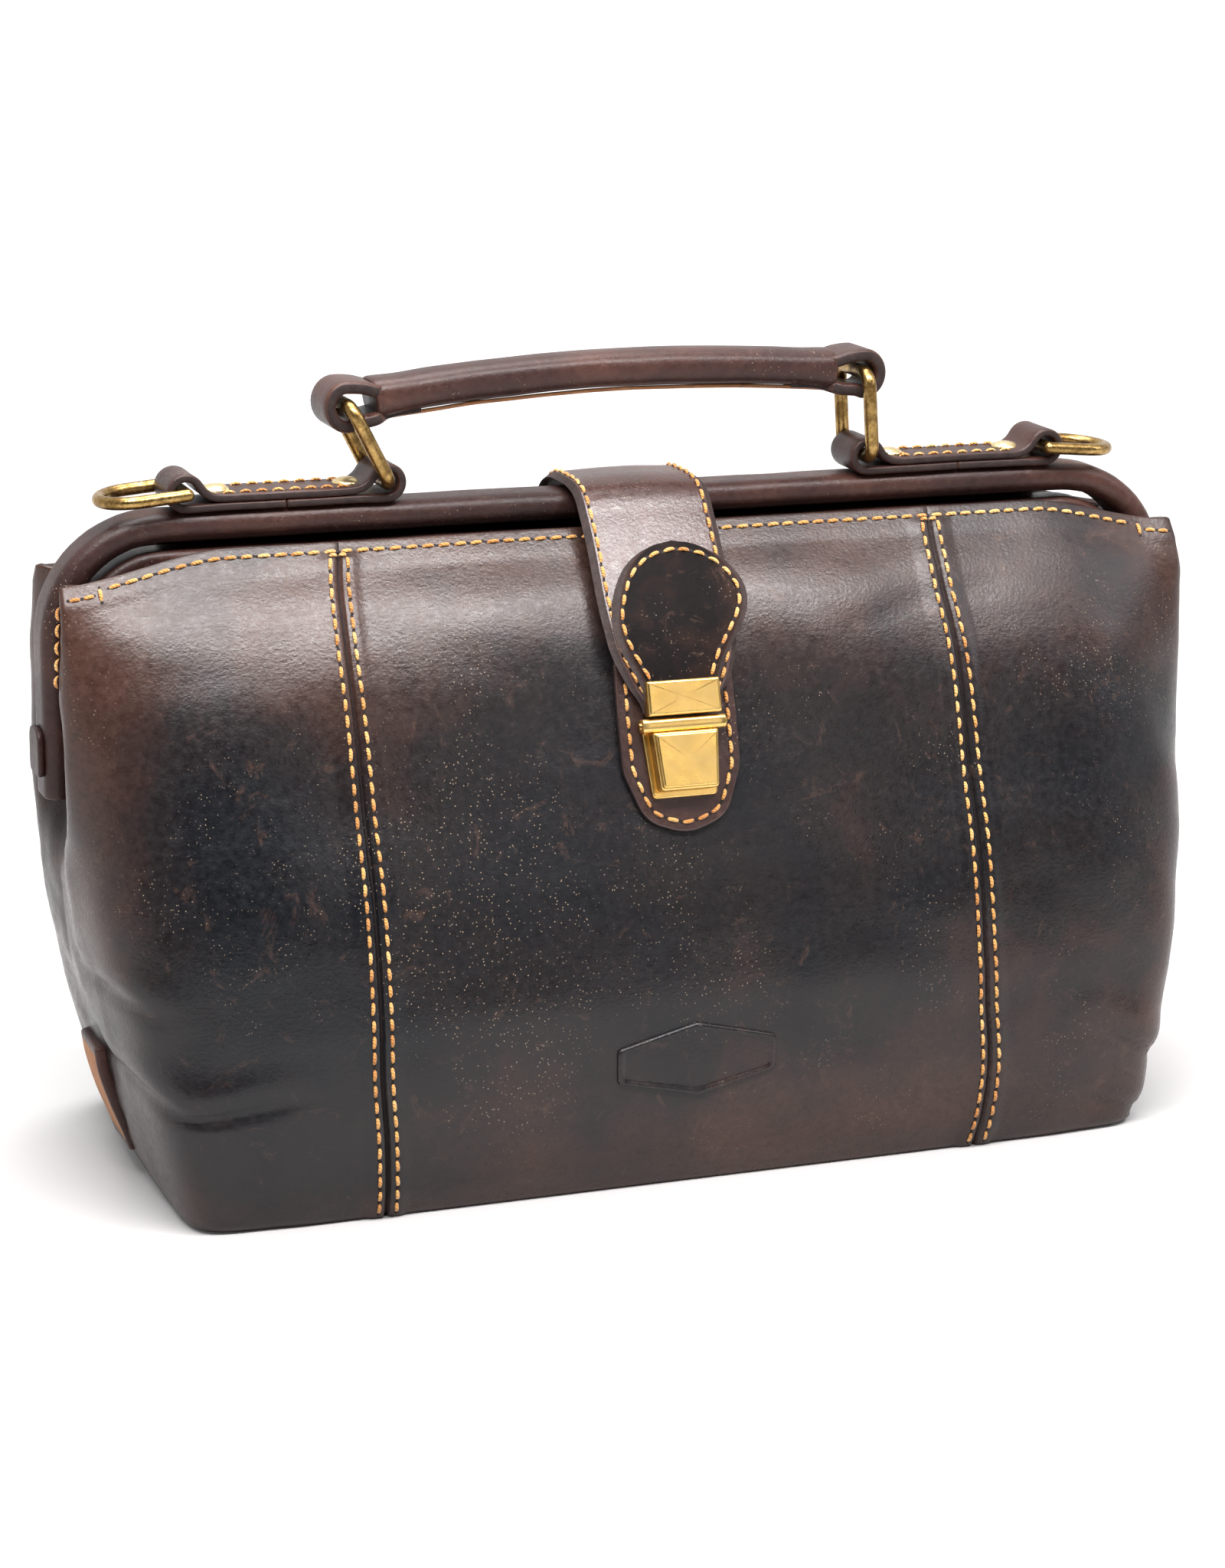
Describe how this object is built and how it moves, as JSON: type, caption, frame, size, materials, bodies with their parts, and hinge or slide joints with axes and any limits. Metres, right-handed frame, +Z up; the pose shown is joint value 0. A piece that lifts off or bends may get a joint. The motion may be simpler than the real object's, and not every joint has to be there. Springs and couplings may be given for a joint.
{
  "type": "doctor bag",
  "caption": "Leather doctor bag with a hinged steel mouth frame, ringed top handle, strap with a push lock, shoulder-strap rings and a hollow body with a flat base.",
  "frame": {"origin": "middle of the footprint, on the ground", "axes": "+X to the right seen from the front, +Y towards the back, +Z up"},
  "size_m": [0.385, 0.151, 0.2556],
  "materials": {
    "leather": "waxed pull-up, satin",
    "leather_dark": "satin, dyed edge",
    "tan_leather": "matte suede back",
    "lining": "matte woven",
    "thread": "waxed thread",
    "board": "matte fibreboard",
    "steel": "satin",
    "antique_brass": "antiqued, satin",
    "bright_brass": "satin plated"
  },
  "bodies": {
    "bag": {"front_panel": "leather", "back_panel": "leather", "side_panel_left": "leather", "side_panel_right": "leather", "base_panel": "leather", "base_board": "board", "lining": "lining", "front_fold_leather": "leather", "back_fold_leather": "leather", "gusset_fold_left": "leather", "gusset_fold_right": "leather", "gusset_tab_left": "tan_leather", "gusset_tab_right": "tan_leather", "lock_patch": "leather", "lock_base_plate": "bright_brass", "lock_housing": "bright_brass", "lock_crossbar": "bright_brass", "lock_spring": "steel"},
    "frame_back": {"frame_steel_back": "steel", "frame_wrap_back": "leather", "back_hem_band": "leather", "hinge_pin_left": "steel", "hinge_pin_right": "steel", "hinge_cover_left": "leather", "hinge_cover_right": "leather", "handle_tab_left": "leather", "handle_tab_right": "leather", "tab_rivets": "bright_brass", "strap_back": "leather", "strap_rivets": "bright_brass"},
    "frame_front": {"frame_steel_front": "steel", "frame_wrap_front": "leather_dark", "front_hem_band": "leather"},
    "strap_flap": {"strap_bend": "leather", "strap_tip": "leather", "strap_overlay": "leather", "lock_tongue_plate": "bright_brass"},
    "ring_left": {"handle_ring_left": "antique_brass"},
    "handle": {"handle_core": "leather", "handle_wrap": "leather"},
    "ring_right": {"handle_ring_right": "antique_brass"},
    "d_ring_left": {"d_ring_left": "antique_brass"},
    "d_ring_right": {"d_ring_right": "antique_brass"},
    "lock_button": {"lock_button": "bright_brass"}
  },
  "joints": [
    {"name": "frame_back_hinge", "type": "hinge", "parent": "bag", "child": "frame_back", "pos_m": [0, 0, 0.14], "axis": [-1, 0, 0], "range_deg": [0, 40], "deforming": ["back_fold_leather", "gusset_fold_left", "gusset_fold_right"]},
    {"name": "frame_front_hinge", "type": "hinge", "parent": "bag", "child": "frame_front", "pos_m": [0, 0, 0.14], "axis": [1, 0, 0], "range_deg": [0, 40], "deforming": ["front_fold_leather"]},
    {"name": "strap_lift", "type": "hinge", "parent": "frame_back", "child": "strap_flap", "pos_m": [0, -0.0135, 0.212], "axis": [-1, 0, 0], "range_deg": [0, 120], "deforming": ["strap_bend", "strap_overlay"]},
    {"name": "ring_left_pivot", "type": "hinge", "parent": "frame_back", "child": "ring_left", "pos_m": [-0.081, 0, 0.2183], "axis": [0, 1, 0], "range_deg": [-5, 30]},
    {"name": "handle_pivot", "type": "hinge", "parent": "ring_left", "child": "handle", "pos_m": [-0.09348, 0, 0.2428], "axis": [0, 1, 0], "range_deg": [-29, 5]},
    {"name": "ring_right_pivot", "type": "hinge", "parent": "frame_back", "child": "ring_right", "pos_m": [0.081, 0, 0.2183], "axis": [0, 1, 0], "range_deg": [-5, 30]},
    {"name": "d_ring_left_pivot", "type": "hinge", "parent": "frame_back", "child": "d_ring_left", "pos_m": [-0.145, 0, 0.2183], "axis": [0, 1, 0], "range_deg": [0, 120]},
    {"name": "d_ring_right_pivot", "type": "hinge", "parent": "frame_back", "child": "d_ring_right", "pos_m": [0.145, 0, 0.2183], "axis": [0, -1, 0], "range_deg": [0, 120]},
    {"name": "lock_button_slide", "type": "slide", "parent": "bag", "child": "lock_button", "axis": [0, -0.3007, -0.9537], "range_m": [0, 0.0025], "deforming": ["lock_spring"]}
  ],
  "couplings": [
    {"joint": "frame_front_hinge", "follows": "frame_back_hinge", "ratio": 1},
    {"joint": "strap_lift", "follows": "frame_back_hinge", "ratio": 3},
    {"joint": "ring_right_pivot", "follows": "ring_left_pivot", "ratio": 1},
    {"joint": "handle_pivot", "follows": "ring_left_pivot", "ratio": -0.937}
  ]
}
